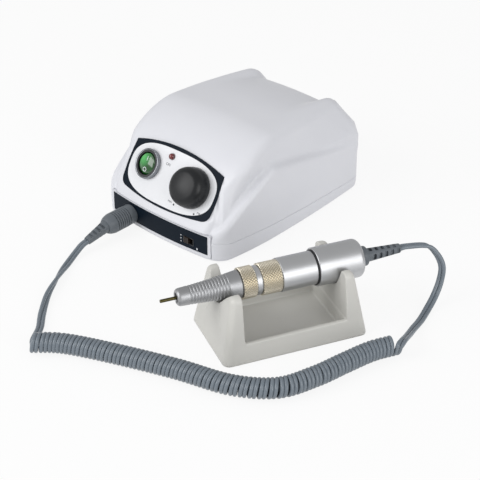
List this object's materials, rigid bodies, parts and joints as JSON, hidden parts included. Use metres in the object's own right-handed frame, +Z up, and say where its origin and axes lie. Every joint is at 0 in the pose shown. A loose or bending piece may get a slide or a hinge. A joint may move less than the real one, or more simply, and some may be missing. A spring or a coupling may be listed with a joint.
{
  "type": "nail drill machine",
  "caption": "Desktop nail drill set: rounded control unit with speed dial and rocker switch, a slim rotary handpiece on a curly cord, and a cradle that holds the handpiece.",
  "frame": {"origin": "on the table, under the middle of the box around the control unit, the rest and the handpiece, cord left out", "axes": "+Z up; -Y is the control unit's front; +X is to the right seen from the front"},
  "size_m": [0.2929, 0.334, 0.0839],
  "materials": {
    "housing_white": "smooth",
    "overlay_navy": "satin",
    "switch_black": "matte",
    "rocker_green": "translucent gloss",
    "lamp_red": "translucent gloss",
    "knob_black": "satin",
    "slider_brown": "matte",
    "plated_steel": "satin",
    "control_body": "matte",
    "board_green": "matte",
    "capacitor_blue": "gloss",
    "sink_aluminium": "satin",
    "core_iron": "matte",
    "coil_wrap": "satin",
    "rear_panel_white": "matte",
    "contact_brass": "satin",
    "foot_rubber": "matte",
    "cord_rubber": "matte",
    "nose_aluminium": "satin",
    "knurl_nickel": "knurled",
    "sleeve_aluminium": "satin",
    "collet_steel": "satin",
    "shank_brass": "satin",
    "coupling_dark": "matte",
    "winding_copper": "satin",
    "magnet_dark": "matte",
    "brush_carbon": "matte",
    "rest_plastic": "satin"
  },
  "bodies": {
    "control_unit": {"base_tray": "housing_white", "top_housing": "housing_white", "chin_plate": "housing_white", "chin_overlay": "overlay_navy", "panel_border": "overlay_navy", "panel_face": "housing_white", "power_switch": "switch_black", "indicator_lamp": "lamp_red", "speed_control": "control_body", "speed_control_nut": "plated_steel", "handpiece_socket": "switch_black", "direction_switch": "switch_black", "control_board": "board_green", "board_capacitors": "capacitor_blue", "heat_sink": "sink_aluminium", "board_screws": "plated_steel", "transformer_core": "core_iron", "transformer_coil": "coil_wrap", "rear_panel": "rear_panel_white", "rear_panel_screws": "plated_steel", "mains_inlet": "switch_black", "inlet_pins": "contact_brass", "pedal_jack": "switch_black", "pedal_jack_nut": "plated_steel", "rubber_feet": "foot_rubber", "base_screws": "plated_steel", "plug_grip": "cord_rubber", "plug_shield": "plated_steel", "plug_pins": "contact_brass", "cord_lead": "cord_rubber", "cord_coil": "cord_rubber", "cord_tail": "cord_rubber", "handpiece_rest": "rest_plastic"},
    "rocker": {"power_rocker": "rocker_green"},
    "knob": {"speed_knob": "knob_black", "speed_control_shaft": "plated_steel"},
    "slider": {"direction_slider": "slider_brown"},
    "handpiece": {"nose_cone": "nose_aluminium", "grip_ring": "knurl_nickel", "middle_sleeve": "sleeve_aluminium", "seal_ring": "foot_rubber", "motor_housing": "sleeve_aluminium", "motor_end_cap": "switch_black", "cord_boot": "cord_rubber", "spindle_bearings": "plated_steel", "motor_magnets": "magnet_dark", "motor_bearings": "plated_steel", "carbon_brushes": "brush_carbon"},
    "chuck_ring": {"chuck_ring": "knurl_nickel"},
    "spindle": {"spindle": "plated_steel", "drive_coupling": "coupling_dark", "motor_shaft": "plated_steel", "rotor_core": "plated_steel", "rotor_winding": "winding_copper", "commutator": "contact_brass"},
    "collet": {"collet": "collet_steel"},
    "tool": {"tool_shank": "shank_brass"}
  },
  "joints": [
    {"name": "power_rocker", "type": "hinge", "parent": "control_unit", "child": "rocker", "pos_m": [-0.0872, -0.01898, 0.04825], "axis": [-0.9984, 0.0485, -0.0303], "range_deg": [0, 12]},
    {"name": "speed_knob", "type": "hinge", "parent": "control_unit", "child": "knob", "pos_m": [-0.03973, -0.0213, 0.04675], "axis": [-0.056, 0.8467, -0.5291], "range_deg": [0, 280]},
    {"name": "direction_slider", "type": "slide", "parent": "control_unit", "child": "slider", "axis": [1, 0, 0], "range_m": [0, 0.004]},
    {"name": "handpiece_lift", "type": "slide", "parent": "control_unit", "child": "handpiece", "axis": [0, 0, 1], "range_m": [0, 0.06], "deforming": ["cord_tail"]},
    {"name": "chuck_ring_turn", "type": "hinge", "parent": "handpiece", "child": "chuck_ring", "pos_m": [0.06824, -0.08156, 0.042], "axis": [0.4305, 0.9026, 0], "range_deg": [0, 70]},
    {"name": "spindle_spin", "type": "hinge", "parent": "handpiece", "child": "spindle", "pos_m": [0.07039, -0.07705, 0.042], "axis": [0.4305, 0.9026, 0], "continuous": true},
    {"name": "collet_release", "type": "slide", "parent": "spindle", "child": "collet", "axis": [-0.4305, -0.9026, 0], "range_m": [0, 0.001]},
    {"name": "tool_withdraw", "type": "slide", "parent": "collet", "child": "tool", "axis": [-0.4305, -0.9026, 0], "range_m": [0, 0.018]}
  ],
  "couplings": [
    {"joint": "collet_release", "follows": "chuck_ring_turn", "m_per_rad": 0.0008184}
  ]
}
